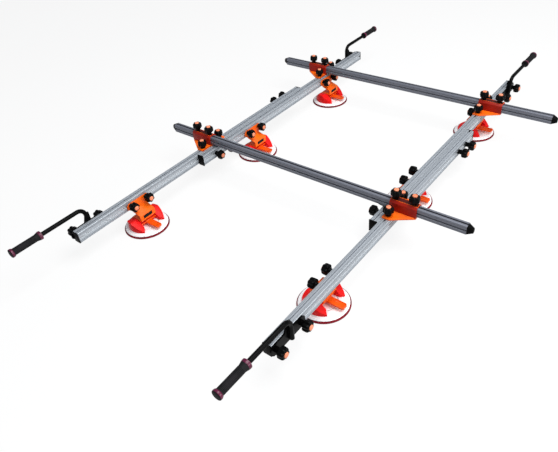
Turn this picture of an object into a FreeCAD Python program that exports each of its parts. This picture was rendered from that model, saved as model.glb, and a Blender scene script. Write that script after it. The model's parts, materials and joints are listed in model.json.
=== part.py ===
# Glass panel lifter: a telescopic carrying frame that stands on six suction cups.
# Millimetres, +Z up, rails along Y, cross bars along X, origin on the floor under the middle of the frame.
import FreeCAD
import Part
import Sketcher
import math
import os

# Driving dimensions: name and value, with a heading comment for each piece.
SIZES = [
    # Rails: four slotted profiles, two side by side on each side of the frame
    ("rail_width", 34),
    ("rail_height", 48),
    ("rail_clear_height", 108),
    ("left_bar_overhang", 275),
    ("right_bar_overhang", 333),
    ("rail_seam", 0.6),
    ("rails_half_length", 1050),
    ("near_rail_past_middle", 465),
    ("far_rail_past_middle", 355),
    ("rail_corner", 2),
    ("slot_mouth", 8.4),
    ("slot_lip", 3),
    ("slot_room", 15),
    ("slot_depth", 10),
    ("core_wall", 2.5),
    ("channel_width", 20),
    ("channel_depth", 1.2),
    # Plugs and plates that close the profiles
    ("rail_cap_thickness", 5),
    ("guide_cap_flare", 3),
    ("cap_plug_length", 12),
    ("cap_plug_clearance", 0.3),
    ("bar_cap_length", 22),
    ("bar_cap_draw_in", 8),
    # Cross bars over their caps; the near one is placed from the far rails' inner ends
    ("bar_width", 32),
    ("bar_height", 40),
    ("bar_length", 1584),
    ("bar_corner", 6),
    ("near_bar_past_overlap", 110),
    ("far_bar_inset", 359),
    # Saddles that hold the bars on the rails
    ("plate_thickness", 6),
    ("running_clearance", 0.4),
    ("saddle_reach", 78),
    ("saddle_length", 98),
    ("saddle_knob_reach", 57),
    ("saddle_outer_knob", 78),
    ("saddle_corner", 9),
    ("saddle_relief", 0.8),
    # Hand knobs on square T-bolts
    ("knob_radius", 22),
    ("knob_valley_radius", 17.5),
    ("knob_head_height", 26),
    ("knob_hub_radius", 11),
    ("knob_hub_height", 13),
    ("knob_cap_radius", 10),
    ("knob_cap_height", 4),
    ("bolt_width", 7.6),
    ("bolt_head_width", 13.6),
    ("bolt_head_height", 5),
    ("splice_knob_inset", 85),
    ("splice_knob_spacing", 75),
    # Suction cups: places from the ends of their rails, then pad, housing, lever and bracket
    ("left_near_cup_inset", 308),
    ("left_mid_cup_inset", 355),
    ("left_far_cup_inset", 374),
    ("right_near_cup_inset", 353),
    ("right_mid_cup_inset", 377),
    ("right_far_cup_inset", 328),
    ("cup_offset", 20),
    ("cup_radius", 101.6),
    ("pad_height", 16),
    ("pad_shoulder_radius", 82),
    ("pad_edge_radius", 97),
    ("pad_edge_height", 10),
    ("pad_lip_height", 4),
    ("pad_lip_width", 10),
    ("pad_hollow", 5),
    ("housing_radius", 80),
    ("housing_web_height", 56),
    ("wing_inner_half_width", 43),
    ("wing_rise", 6),
    ("housing_foot_height", 8),
    ("housing_front", 52),
    ("housing_back", 66),
    ("housing_top_front", 2),
    ("housing_top_back", 28),
    ("opening_back", 8),
    ("opening_flare", 40),
    ("lever_pivot_reach", 18),
    ("lever_pivot_height", 34),
    ("lever_length", 76),
    ("lever_width", 30),
    ("lever_thickness", 8),
    ("lever_corner", 5),
    ("lever_hub_radius", 7),
    ("lever_pin_radius", 3),
    ("lever_pin_bite", 10),
    ("lever_pin_clearance", 0.3),
    ("lever_dish_start", 34),
    ("lever_dish_margin", 4),
    ("lever_dish_depth", 2),
    ("bracket_half_width", 62),
    ("bracket_knob_reach", 42),
    ("bracket_top_margin", 9),
    ("bracket_taper_drop", 14),
    ("bracket_bend_drop", 8),
    ("bracket_knee_reach", 44),
    ("bracket_foot_back", 10),
    ("bracket_foot_half_width", 41),
    ("bracket_corner", 12),
    ("window_half_width", 24),
    # Handles: plate and rod measured from the place where the rod rises
    ("handle_inset", 84),
    ("handle_knob_back", 61),
    ("handle_knob_front", 70),
    ("handle_plate_back", 84),
    ("handle_plate_front", 96),
    ("handle_plate_height", 46),
    ("handle_plate_corner", 14),
    ("gusset_width", 14),
    ("gusset_height", 40),
    ("rod_radius", 9),
    ("rod_embed", 1.5),
    ("rod_bend", 34),
    ("rod_lift", 57),
    ("rod_foot", 12),
    ("grip_start", 200),
    ("grip_length", 130),
    ("grip_radius", 14.5),
    ("grip_flange_radius", 18.5),
    ("grip_flange_width", 12),
    ("grip_flange_slope", 5),
    ("grip_end_thickness", 5),
    ("grip_clearance", 0.2),
    # How far a cut runs past the material
    ("overrun", 5),
]

SIDES = {"left": -1, "right": 1}
ENDS = {"near": -1, "far": 1}
CUP_RAILS = {"near": "near", "mid": "far", "far": "far"}
KNOB_LOBES = 6
HUB_SIDES = 6
KNEE_SHARE = 0.6
WINDOW_SHARES = (0.05, 0.8)

UP = FreeCAD.Vector(0, 0, 1)

doc = FreeCAD.newDocument("GlassPanelLifter")
sheet = doc.addObject("Spreadsheet::Sheet", "Sizes")
for row, (alias, number) in enumerate(SIZES, start=1):
    sheet.set("A%d" % row, alias)
    sheet.set("B%d" % row, str(number))
    sheet.setAlias("B%d" % row, alias)
doc.recompute()


class Size:
    """A length with its formula, so that one sum sets both a drawing and the expression that drives it."""

    def __init__(self, text, value):
        self.text = text
        self.value = value

    def __add__(self, other):
        other = as_size(other)
        return Size("(%s + %s)" % (self.text, other.text), self.value + other.value)

    def __sub__(self, other):
        other = as_size(other)
        return Size("(%s - %s)" % (self.text, other.text), self.value - other.value)

    def __mul__(self, share):
        return Size("(%s * %.9f)" % (self.text, share), self.value * share)

    def __truediv__(self, count):
        return self * (1 / count)

    def __neg__(self):
        return self * -1


def as_size(value):
    return value if isinstance(value, Size) else Size("0", value)


def size(alias):
    """The named driving dimension."""
    return Size("Sizes." + alias, float(sheet.get(alias)))


# Places that several pieces share
OVERRUN = size("overrun")
CLEAR = size("running_clearance")
PLATE = size("plate_thickness")
SEAT = PLATE + CLEAR
RAIL_HALF = size("rail_width") / 2
RAIL_TOP = size("rail_clear_height") + size("rail_height")
SLOT_LEVEL = size("rail_clear_height") + size("rail_height") / 2
BAR_BOTTOM = RAIL_TOP + SEAT + CLEAR
BAR_TOP = BAR_BOTTOM + size("bar_height")
BOLT_HOLE_HALF = size("slot_mouth") / 2
CUP_PIVOT = size("lever_pivot_reach")
BRACKET_FOOT = size("housing_web_height")
BRACKET_BEND = size("rail_clear_height") - size("bracket_bend_drop")
BRACKET_KNEE = BRACKET_FOOT + PLATE + (BRACKET_BEND - BRACKET_FOOT - PLATE) * KNEE_SHARE
WING_TOP = BRACKET_FOOT + size("wing_rise")


def rail_centre(side, end):
    """X of a rail profile: near profiles run in the outer lane, far ones in the inner lane."""
    lane = (size("rail_seam") + size("rail_width")) / 2
    out_of_seam = lane if end == "near" else -lane
    seam = size("bar_length") / 2 - size(side + "_bar_overhang")
    return (seam + out_of_seam) * SIDES[side]


def rail_length(end):
    """Length of a rail profile, which reaches past the middle of the frame to overlap its partner."""
    return size("rails_half_length") + size(end + "_rail_past_middle")


def rail_middle(end):
    """Y of the middle of a rail profile, whose outer end is at the end of the frame."""
    return (size("rails_half_length") - rail_length(end) / 2) * ENDS[end]


def bar_place(end):
    """Y of a cross bar: the near one stands just past the overlap, the far one is set in from the end."""
    if end == "near":
        return size("near_bar_past_overlap") - size("far_rail_past_middle")
    return size("rails_half_length") - size("far_bar_inset")


# Drawing helpers

def flat(across, up):
    return FreeCAD.Vector(as_size(across).value, as_size(up).value, 0)


def bind(item, name, value):
    item.setExpression(name, as_size(value).text)


def new_body(label, x=0, y=0, z=0):
    """An empty body with its place bound to the sheet."""
    body = doc.addObject("PartDesign::Body", label)
    body.Label = label
    for axis, value in zip("xyz", (x, y, z)):
        bind(body, "Placement.Base." + axis, value)
    return body


def sketch_on(body, role, offset=0):
    """A sketch on one of the body's own planes, moved along the plane's normal."""
    sketch = body.newObject("Sketcher::SketchObject", body.Label + "_sketch")
    support = [item for item in body.Origin.OriginFeatures if item.Role == role]
    sketch.AttachmentSupport = [(support[0], "")]
    sketch.MapMode = "FlatFace"
    bind(sketch, "AttachmentOffset.Base.z", offset)
    return sketch


def pin_point(sketch, edge, point, across, up):
    """Holds a point of the sketch at its two coordinates."""
    for kind, axis, value in (("DistanceX", -2, across), ("DistanceY", -1, up)):
        if isinstance(value, Size):
            mark = Sketcher.Constraint(kind, -1, 1, edge, point, value.value)
            index = sketch.addConstraint(mark)
            sketch.setExpression("Constraints[%d]" % index, value.text)
        else:
            sketch.addConstraint(Sketcher.Constraint("PointOnObject", edge, point, axis))


def polygon(sketch, corners):
    """A closed outline through the corners, each one a pair of sizes or zeros."""
    first = sketch.GeometryCount
    count = len(corners)
    lines = []
    for i in range(count):
        lines.append(Part.LineSegment(flat(*corners[i]), flat(*corners[(i + 1) % count])))
    sketch.addGeometry(lines, False)
    joins = []
    for i in range(count):
        joins.append(Sketcher.Constraint("Coincident", first + i, 2, first + (i + 1) % count, 1))
    sketch.addConstraint(joins)
    for i, (across, up) in enumerate(corners):
        pin_point(sketch, first + i, 1, across, up)


def rectangle(sketch, left, right, bottom, top):
    polygon(sketch, [(left, bottom), (right, bottom), (right, top), (left, top)])


def square(sketch, across, up, half):
    across = as_size(across)
    up = as_size(up)
    rectangle(sketch, across - half, across + half, up - half, up + half)


def circle(sketch, across, up, radius):
    edge = sketch.addGeometry(Part.Circle(flat(across, up), UP, radius.value), False)
    pin_point(sketch, edge, 3, across, up)
    index = sketch.addConstraint(Sketcher.Constraint("Radius", edge, radius.value))
    sketch.setExpression("Constraints[%d]" % index, radius.text)


def star(sketch, radii, count):
    """A closed outline of count points whose radii take turns."""
    corners = []
    for i in range(count):
        turn = 2 * math.pi * (i + 0.5) / count
        radius = radii[i % len(radii)]
        corners.append((radius * math.cos(turn), radius * math.sin(turn)))
    polygon(sketch, corners)


def pad(body, sketch, length, side_type="One side", reverse=False):
    feature = body.newObject("PartDesign::Pad", body.Label + "_pad")
    feature.Profile = sketch
    feature.SideType = side_type
    feature.Reversed = reverse
    bind(feature, "Length", length)
    return feature


def pocket(body, sketch, length=None, side_type="One side", reverse=False):
    """A cut of the given length, or right through."""
    feature = body.newObject("PartDesign::Pocket", body.Label + "_pocket")
    feature.Profile = sketch
    feature.SideType = side_type
    feature.Reversed = reverse
    if length is None:
        feature.Type = "ThroughAll"
    else:
        bind(feature, "Length", length)
    return feature


def revolve(body, sketch, axis):
    feature = body.newObject("PartDesign::Revolution", body.Label + "_revolution")
    feature.Profile = sketch
    feature.ReferenceAxis = (sketch, [axis])
    return feature


def group(label, copies):
    """One node of separate solids: copies of made pieces, each as (piece, place, direction of its axis)."""
    shapes = []
    for piece, place, turn in copies:
        shape = piece.Shape.copy()
        where = FreeCAD.Vector(*[as_size(value).value for value in place])
        shape.Placement = FreeCAD.Placement(where, turn).multiply(shape.Placement)
        shapes.append(shape)
    node = doc.addObject("Part::Feature", label)
    node.Label = label
    node.Shape = Part.makeCompound(shapes)
    node.Placement = FreeCAD.Placement()
    return node


# Profiles

def slot_corners(half, corner, channel):
    """One side of a profile as (along, depth) pairs, with its T-slot and, on rails, a shallow channel."""
    mouth = size("slot_mouth") / 2
    room = size("slot_room") / 2
    lip = size("slot_lip")
    depth = size("slot_depth")
    edge = half - corner
    left = [(-edge, 0)]
    if channel:
        wide = size("channel_width") / 2
        shallow = size("channel_depth")
        left += [(-wide, 0), (-wide, shallow), (-mouth, shallow)]
    else:
        left += [(-mouth, 0)]
    left += [(-mouth, lip), (-room, lip), (-room, depth)]
    right = [(-along, deep) for along, deep in reversed(left)]
    return left + right


def profile_corners(width, height, corner, channel):
    """The outline of a slotted profile, side after side round its middle."""
    half_w = width / 2
    half_h = height / 2
    corners = []
    for along, deep in slot_corners(half_w, corner, False):
        corners.append((along, half_h - deep))
    for along, deep in slot_corners(half_h, corner, channel):
        corners.append((half_w - deep, -along))
    for along, deep in slot_corners(half_w, corner, False):
        corners.append((-along, -(half_h - deep)))
    for along, deep in slot_corners(half_h, corner, channel):
        corners.append((-(half_w - deep), along))
    return corners


def core_half(extent):
    """Half of the hollow core, which leaves a wall under the slots."""
    return extent / 2 - size("slot_depth") - size("core_wall")


def core(sketch, width, height, play=0):
    across = core_half(width) - play
    up = core_half(height) - play
    rectangle(sketch, -across, across, -up, up)


def make_rail(side, end):
    width = size("rail_width")
    height = size("rail_height")
    body = new_body("rail_%s_%s" % (side, end), rail_centre(side, end), rail_middle(end), SLOT_LEVEL)
    section = sketch_on(body, "XZ_Plane")
    polygon(section, profile_corners(width, height, size("rail_corner"), True))
    core(section, width, height)
    pad(body, section, rail_length(end), "Symmetric")
    holes = sketch_on(body, "YZ_Plane")
    for place in splice_places(end):
        square(holes, place - rail_middle(end), 0, BOLT_HOLE_HALF)
    pocket(body, holes, None, "Symmetric")
    return body


def splice_places(end):
    """Y of the two knobs that lock the overlap, set in from the inner end of a rail."""
    inner_end = rail_middle(end) - rail_length(end) / 2 * ENDS[end]
    first = size("splice_knob_inset")
    second = first + size("splice_knob_spacing")
    return [inner_end + first * ENDS[end], inner_end + second * ENDS[end]]


def make_bar(end):
    width = size("bar_width")
    height = size("bar_height")
    body = new_body("cross_bar_" + end, 0, bar_place(end), BAR_BOTTOM + height / 2)
    section = sketch_on(body, "YZ_Plane")
    polygon(section, profile_corners(width, height, size("bar_corner"), False))
    core(section, width, height)
    pad(body, section, size("bar_length") - size("bar_cap_length") * 2, "Symmetric")
    return body


# Caps, made pointing along -Y

def make_rail_cap(label, flare):
    body = new_body(label)
    plate = sketch_on(body, "XZ_Plane")
    up = size("rail_height") / 2 + flare
    rectangle(plate, -RAIL_HALF, RAIL_HALF, -up, up)
    pad(body, plate, size("rail_cap_thickness"))
    plug = sketch_on(body, "XZ_Plane")
    core(plug, size("rail_width"), size("rail_height"), size("cap_plug_clearance"))
    pad(body, plug, size("cap_plug_length"), reverse=True)
    return body


def bevelled(width, height, corner):
    """A rectangle with bevelled corners."""
    across = width / 2
    up = height / 2
    return [(-across, up - corner), (-across + corner, up), (across - corner, up), (across, up - corner),
            (across, corner - up), (across - corner, -up), (corner - across, -up), (-across, corner - up)]


def make_bar_cap():
    body = new_body("bar_cap")
    width = size("bar_width")
    height = size("bar_height")
    corner = size("bar_corner")
    drawn_in = size("bar_cap_draw_in") * 2
    root = sketch_on(body, "XZ_Plane")
    polygon(root, bevelled(width, height, corner))
    tip = sketch_on(body, "XZ_Plane", size("bar_cap_length"))
    polygon(tip, bevelled(width - drawn_in, height - drawn_in, corner))
    cone = body.newObject("PartDesign::AdditiveLoft", "bar_cap_loft")
    cone.Profile = root
    cone.Sections = [tip]
    cone.Ruled = True
    plug = sketch_on(body, "XZ_Plane")
    core(plug, width, height, size("cap_plug_clearance"))
    pad(body, plug, size("cap_plug_length"), reverse=True)
    return body


# Hand knob, made along +Z from the slotted face that its bolt hangs in

def make_knob(label, hub_start, slot_face):
    """Lobed knob with its T-bolt: the hub starts on its seat, the head hangs behind the lip of the slot."""
    body = new_body(label)
    hub_end = SEAT + size("knob_hub_height")
    head_end = hub_end + size("knob_head_height")
    grip_level = slot_face - size("slot_lip") - CLEAR
    hub = sketch_on(body, "XY_Plane", hub_start)
    star(hub, [size("knob_hub_radius")], HUB_SIDES)
    pad(body, hub, hub_end - hub_start)
    lobes = sketch_on(body, "XY_Plane", hub_end)
    star(lobes, [size("knob_radius"), size("knob_radius"), size("knob_valley_radius")], KNOB_LOBES * 3)
    pad(body, lobes, size("knob_head_height"))
    cap = sketch_on(body, "XY_Plane", head_end)
    star(cap, [size("knob_cap_radius")], KNOB_LOBES * 2)
    pad(body, cap, size("knob_cap_height"))
    shank = sketch_on(body, "XY_Plane", grip_level)
    square(shank, 0, 0, size("bolt_width") / 2)
    pad(body, shank, hub_end - grip_level)
    head = sketch_on(body, "XY_Plane", grip_level)
    square(head, 0, 0, size("bolt_head_width") / 2)
    pad(body, head, size("bolt_head_height"), reverse=True)
    return body


# Saddle: base on the rail, sleeve round the bar

def make_saddle(side, end):
    out = SIDES[side]
    body = new_body("saddle_%s_%s" % (side, end), rail_centre(side, end), bar_place(end), RAIL_TOP)
    tip = size("saddle_length")
    reach = size("saddle_reach")
    bar_half = size("bar_width") / 2 + CLEAR
    sleeve_half = bar_half + PLATE
    sleeve_top = SEAT + CLEAR + size("bar_height") + SEAT
    ceiling = sleeve_top - PLATE
    corner = size("saddle_corner")
    bevel = size("bar_corner")
    start = -RAIL_HALF if out > 0 else -tip
    base = sketch_on(body, "XY_Plane")
    polygon(base, [(-RAIL_HALF * out, -reach), (RAIL_HALF * out, -reach), (tip * out, -sleeve_half),
                   (tip * out, sleeve_half), (RAIL_HALF * out, reach), (-RAIL_HALF * out, reach)])
    pad(body, base, SEAT)
    sleeve = sketch_on(body, "YZ_Plane", start)
    polygon(sleeve, [(-sleeve_half, 0), (sleeve_half, 0), (sleeve_half, sleeve_top - corner),
                     (sleeve_half - corner, sleeve_top), (corner - sleeve_half, sleeve_top),
                     (-sleeve_half, sleeve_top - corner)])
    pad(body, sleeve, tip + RAIL_HALF)
    passage = sketch_on(body, "YZ_Plane")
    polygon(passage, [(-bar_half, SEAT), (bar_half, SEAT), (bar_half, ceiling - bevel),
                      (bar_half - bevel, ceiling), (bevel - bar_half, ceiling), (-bar_half, ceiling - bevel)])
    pocket(body, passage, None, "Symmetric")
    relief = sketch_on(body, "XY_Plane")
    beyond = reach + OVERRUN
    polygon(relief, [(RAIL_HALF * out, -beyond), ((tip + OVERRUN) * out, -beyond),
                     ((tip + OVERRUN) * out, beyond), (RAIL_HALF * out, beyond)])
    pocket(body, relief, size("saddle_relief"), reverse=True)
    base_holes = sketch_on(body, "XY_Plane")
    for way in (-1, 1):
        square(base_holes, 0, size("saddle_knob_reach") * way, BOLT_HOLE_HALF)
    pocket(body, base_holes, None, "Symmetric")
    top_holes = sketch_on(body, "XY_Plane", ceiling - OVERRUN)
    for place in (0, size("saddle_outer_knob") * out):
        square(top_holes, place, 0, BOLT_HOLE_HALF)
    pocket(body, top_holes, None, reverse=True)
    return body


# Suction cup

def cup_place(side, place):
    """X and Y of the middle of a cup."""
    return cup_face(side, place) - size("cup_offset") * SIDES[side], cup_along(side, place)


def cup_along(side, place):
    """Y of a cup: near and far cups from the frame's ends, middle ones from the far rails' inner ends."""
    half = size("rails_half_length")
    inset = size("%s_%s_cup_inset" % (side, place))
    if place == "near":
        return inset - half
    if place == "mid":
        return inset - size("far_rail_past_middle")
    return half - inset


def cup_face(side, place):
    """X of the inner face of the rail that carries the cup."""
    return rail_centre(side, CUP_RAILS[place]) - RAIL_HALF * SIDES[side]


def make_pad(side, place):
    x, y = cup_place(side, place)
    body = new_body("cup_pad_%s_%s" % (side, place), x, y, 0)
    section = sketch_on(body, "XZ_Plane")
    radius = size("cup_radius")
    rim = radius - size("pad_lip_width")
    polygon(section, [(0, size("pad_hollow")), (rim - size("pad_hollow"), size("pad_hollow")), (rim, 0), (radius, 0),
                      (radius, size("pad_lip_height")), (size("pad_edge_radius"), size("pad_edge_height")),
                      (size("pad_shoulder_radius"), size("pad_height")), (0, size("pad_height"))])
    revolve(body, section, "V_Axis")
    return body


def make_housing(side, place):
    """Round foot with two wings; the lever swings between them, the bracket stands on the web behind it."""
    x, y = cup_place(side, place)
    body = new_body("cup_housing_%s_%s" % (side, place), x, y, 0)
    radius = size("housing_radius")
    inner = size("wing_inner_half_width")
    bottom = size("pad_height")
    foot = bottom + size("housing_foot_height")
    block = sketch_on(body, "XY_Plane", bottom)
    circle(block, 0, 0, radius)
    pad(body, block, WING_TOP - bottom)
    seat = sketch_on(body, "YZ_Plane")
    rectangle(seat, -inner, inner, BRACKET_FOOT, WING_TOP + OVERRUN)
    pocket(body, seat, None, "Symmetric")
    opening = sketch_on(body, "XY_Plane")
    start = size("opening_back")
    flare = size("opening_flare")
    polygon(opening, [(start, -inner), (flare, -inner), (flare + radius, -inner - radius),
                      (flare + radius, inner + radius), (flare, inner), (start, inner)])
    pocket(body, opening, None, "Symmetric")
    slopes = sketch_on(body, "XZ_Plane")
    for end, way in (("front", 1), ("back", -1)):
        face = size("housing_" + end) * way
        inside = size("housing_top_" + end) * way
        outside = (radius + OVERRUN) * way
        polygon(slopes, [(face, foot), (inside, WING_TOP), (inside, WING_TOP + OVERRUN),
                         (outside, WING_TOP + OVERRUN), (outside, foot)])
    pocket(body, slopes, None, "Symmetric")
    pin_hole = sketch_on(body, "XZ_Plane")
    bore = size("lever_pin_radius") + size("lever_pin_clearance")
    circle(pin_hole, CUP_PIVOT, size("lever_pivot_height"), bore)
    depth = inner + size("lever_pin_bite") + CLEAR
    pocket(body, pin_hole, depth * 2, "Symmetric")
    return body


def make_lever(side, place):
    """Release lever, lying flat towards +X, with its cross pin."""
    x, y = cup_place(side, place)
    body = new_body("cup_lever_%s_%s" % (side, place), x + CUP_PIVOT, y, size("lever_pivot_height"))
    half = size("lever_width") / 2
    length = size("lever_length")
    corner = size("lever_corner")
    thick = size("lever_thickness")
    arm = sketch_on(body, "XY_Plane")
    polygon(arm, [(0, -half), (length - corner, -half), (length, corner - half),
                  (length, half - corner), (length - corner, half), (0, half)])
    pad(body, arm, thick, "Symmetric")
    hub = sketch_on(body, "XZ_Plane")
    circle(hub, 0, 0, size("lever_hub_radius"))
    pad(body, hub, size("lever_width"), "Symmetric")
    pin = sketch_on(body, "XZ_Plane")
    circle(pin, 0, 0, size("lever_pin_radius"))
    pad(body, pin, (size("wing_inner_half_width") + size("lever_pin_bite")) * 2, "Symmetric")
    dish = sketch_on(body, "XY_Plane", thick / 2)
    margin = size("lever_dish_margin")
    rectangle(dish, size("lever_dish_start"), length - margin, margin - half, half - margin)
    pocket(body, dish, size("lever_dish_depth"))
    return body


def make_bracket(side, place):
    """Folded plate from the rail's side slot down to the top of the housing."""
    inward = -SIDES[side]
    x, y = cup_place(side, place)
    body = new_body("cup_bracket_%s_%s" % (side, place), cup_face(side, place), y, 0)
    top = SLOT_LEVEL + size("bracket_top_margin")
    bend = BRACKET_BEND
    knee = BRACKET_KNEE
    reach = size("bracket_knee_reach")
    foot = BRACKET_FOOT
    back = -size("bracket_foot_back")
    taper = SLOT_LEVEL - size("bracket_taper_drop")
    wide = size("bracket_half_width")
    narrow = size("bracket_foot_half_width")
    corner = size("bracket_corner")
    outline = [(CLEAR, top), (SEAT, top), (SEAT, bend), (reach + PLATE, knee), (reach + PLATE, foot),
               (back, foot), (back, foot + PLATE), (reach, foot + PLATE), (reach, knee - PLATE / 2),
               (CLEAR, bend - PLATE / 2)]
    fold = sketch_on(body, "XZ_Plane")
    polygon(fold, [(across * inward, up) for across, up in outline])
    pad(body, fold, wide * 2, "Symmetric")
    trims = sketch_on(body, "YZ_Plane")
    beyond = wide + OVERRUN
    for way in (-1, 1):
        polygon(trims, [(beyond * way, taper), (wide * way, taper), (narrow * way, bend),
                        (narrow * way, foot - OVERRUN), (beyond * way, foot - OVERRUN)])
        polygon(trims, [(wide * way, top - corner), (beyond * way, top - corner),
                        (beyond * way, top + OVERRUN), ((wide - corner) * way, top + OVERRUN),
                        ((wide - corner) * way, top)])
    pocket(body, trims, None, "Symmetric")
    openings = sketch_on(body, "YZ_Plane")
    window = size("window_half_width")
    low, high = [foot + PLATE + (knee - foot - PLATE) * share for share in WINDOW_SHARES]
    rectangle(openings, -window, window, low, high)
    for way in (-1, 1):
        square(openings, size("bracket_knob_reach") * way, SLOT_LEVEL, BOLT_HOLE_HALF)
    pocket(body, openings, None, "Symmetric")
    return body


# Handle at the end of a rail

def handle_face(side, end):
    """X of the outer face of the rail that carries the handle."""
    return rail_centre(side, end) + RAIL_HALF * SIDES[side]


def handle_rise():
    """Distance of a handle's rising rod from the middle of the frame."""
    return size("rails_half_length") - size("handle_inset")


def rod_out():
    """Distance of the rod's axis from the rail's outer face."""
    return SEAT + size("rod_radius") - size("rod_embed")


def rod_level():
    """Height of the rod's axis over the slot."""
    return size("rail_height") / 2 + size("rod_lift")


def make_handle_frame(side, end):
    """Plate with an ear, and a rod that rises along the ear and bends out past the rail's end."""
    out = SIDES[side]
    way = ENDS[end]
    rise = handle_rise() * way
    body = new_body("handle_frame_%s_%s" % (side, end), handle_face(side, end), rise, SLOT_LEVEL)
    back = size("handle_plate_back")
    front = size("handle_plate_front")
    half = size("handle_plate_height") / 2
    corner = size("handle_plate_corner")
    rod = size("rod_radius")
    ear_top = half + size("gusset_height")
    start = CLEAR if out > 0 else -SEAT
    outline = [(corner - back, -half), (front - corner, -half), (front, corner - half), (front, half - corner),
               (front - corner, half), (size("gusset_width") + rod, half), (rod, ear_top), (-rod, ear_top),
               (-rod, half), (corner - back, half), (-back, half - corner), (-back, corner - half)]
    plate = sketch_on(body, "YZ_Plane", start)
    polygon(plate, [(along * way, up) for along, up in outline])
    pad(body, plate, PLATE)
    holes = sketch_on(body, "YZ_Plane")
    for place in (-size("handle_knob_back"), size("handle_knob_front")):
        square(holes, place * way, 0, BOLT_HOLE_HALF)
    pocket(body, holes, None, "Symmetric")
    foot = -size("rod_foot")
    level = rod_level()
    bend = size("rod_bend")
    far = size("grip_start") + size("grip_length")
    ring = sketch_on(body, "XY_Plane", foot)
    circle(ring, rod_out() * out, 0, rod)
    path = sketch_on(body, "YZ_Plane", rod_out() * out)
    path.addGeometry(Part.LineSegment(flat(0, foot), flat(0, level - bend)), False)
    middle = flat(bend * way, level - bend)
    round_arc = Part.Circle(middle, UP, bend.value)
    turn = (math.pi / 2, math.pi) if way > 0 else (0, math.pi / 2)
    path.addGeometry(Part.ArcOfCircle(round_arc, *turn), False)
    path.addGeometry(Part.LineSegment(flat(bend * way, level), flat(far * way, level)), False)
    low_end, high_end = (2, 1) if way > 0 else (1, 2)
    path.addConstraint(Sketcher.Constraint("Coincident", 0, 2, 1, low_end))
    path.addConstraint(Sketcher.Constraint("Coincident", 2, 1, 1, high_end))
    pin_point(path, 0, 1, 0, foot)
    pin_point(path, 0, 2, 0, level - bend)
    pin_point(path, 2, 1, bend * way, level)
    pin_point(path, 2, 2, far * way, level)
    across = bend * way
    index = path.addConstraint(Sketcher.Constraint("DistanceX", -1, 1, 1, 3, across.value))
    path.setExpression("Constraints[%d]" % index, across.text)
    tube = body.newObject("PartDesign::AdditivePipe", body.Label + "_rod")
    tube.Profile = ring
    tube.Spine = (path, ["Edge1", "Edge2", "Edge3"])
    return body


def make_grip(side, end):
    """Flanged grip with a closed end, on the end of the rod."""
    way = ENDS[end]
    x = handle_face(side, end) + rod_out() * SIDES[side]
    y = (handle_rise() + size("grip_start")) * way
    body = new_body("handle_grip_%s_%s" % (side, end), x, y, SLOT_LEVEL + rod_level())
    length = size("grip_length")
    bore = size("rod_radius") + size("grip_clearance")
    waist = size("grip_radius")
    flange = size("grip_flange_radius")
    collar = size("grip_flange_width")
    slope = collar + size("grip_flange_slope")
    closed = length + size("grip_clearance")
    outer_end = closed + size("grip_end_thickness")
    outline = [(0, bore), (0, flange), (collar, flange), (slope, waist), (outer_end - slope, waist),
               (outer_end - collar, flange), (outer_end, flange), (outer_end, 0), (closed, 0), (closed, bore)]
    section = sketch_on(body, "YZ_Plane")
    placed = []
    for along, up in outline:
        placed.append((along * way if isinstance(along, Size) else 0, up))
    polygon(section, placed)
    revolve(body, section, "H_Axis")
    return body


# Groups of caps and knobs, turned from their own axes to their places

TO_NEAR = FreeCAD.Rotation(UP, 0)
TO_FAR = FreeCAD.Rotation(UP, 180)
TO_RIGHT = FreeCAD.Rotation(UP, 90)
TO_LEFT = FreeCAD.Rotation(UP, -90)
UPRIGHT = FreeCAD.Rotation()


def sideways(sign):
    """Turn from +Z to +X or -X."""
    return FreeCAD.Rotation(UP, FreeCAD.Vector(sign, 0, 0))


def make_caps(side, end, rail_cap, guide_cap, bar_cap):
    """The caps of one rail, with those of the bar that the left rail carries."""
    x = rail_centre(side, end)
    outer = size("rails_half_length") * ENDS[end]
    inner = outer - rail_length(end) * ENDS[end]
    outwards, inwards = (TO_NEAR, TO_FAR) if end == "near" else (TO_FAR, TO_NEAR)
    inner_cap = rail_cap if end == "near" else guide_cap
    copies = [(rail_cap, (x, outer, SLOT_LEVEL), outwards), (inner_cap, (x, inner, SLOT_LEVEL), inwards)]
    if side == "left":
        bar_end = size("bar_length") / 2 - size("bar_cap_length")
        level = BAR_BOTTOM + size("bar_height") / 2
        copies.append((bar_cap, (-bar_end, bar_place(end), level), TO_LEFT))
        copies.append((bar_cap, (bar_end, bar_place(end), level), TO_RIGHT))
    return group("end_caps_%s_%s" % (side, end), copies)


def make_clamp_knobs(side, end, knob, splice_knob):
    """Four knobs on the saddle and two that lock the overlap of the rails."""
    out = SIDES[side]
    x = rail_centre(side, end)
    y = bar_place(end)
    reach = size("saddle_knob_reach")
    copies = [(knob, (x, y - reach, RAIL_TOP), UPRIGHT), (knob, (x, y + reach, RAIL_TOP), UPRIGHT),
              (knob, (x, y, BAR_TOP), UPRIGHT), (knob, (x + size("saddle_outer_knob") * out, y, BAR_TOP), UPRIGHT)]
    free_side = out if end == "near" else -out
    face = x + RAIL_HALF * free_side
    for place in splice_places(end):
        copies.append((splice_knob, (face, place, SLOT_LEVEL), sideways(free_side)))
    return group("clamp_knobs_%s_%s" % (side, end), copies)


def make_cup_knobs(side, place, knob):
    y = cup_place(side, place)[1]
    reach = size("bracket_knob_reach")
    turn = sideways(-SIDES[side])
    face = cup_face(side, place)
    return group("cup_knobs_%s_%s" % (side, place),
                 [(knob, (face, y - reach, SLOT_LEVEL), turn), (knob, (face, y + reach, SLOT_LEVEL), turn)])


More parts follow.
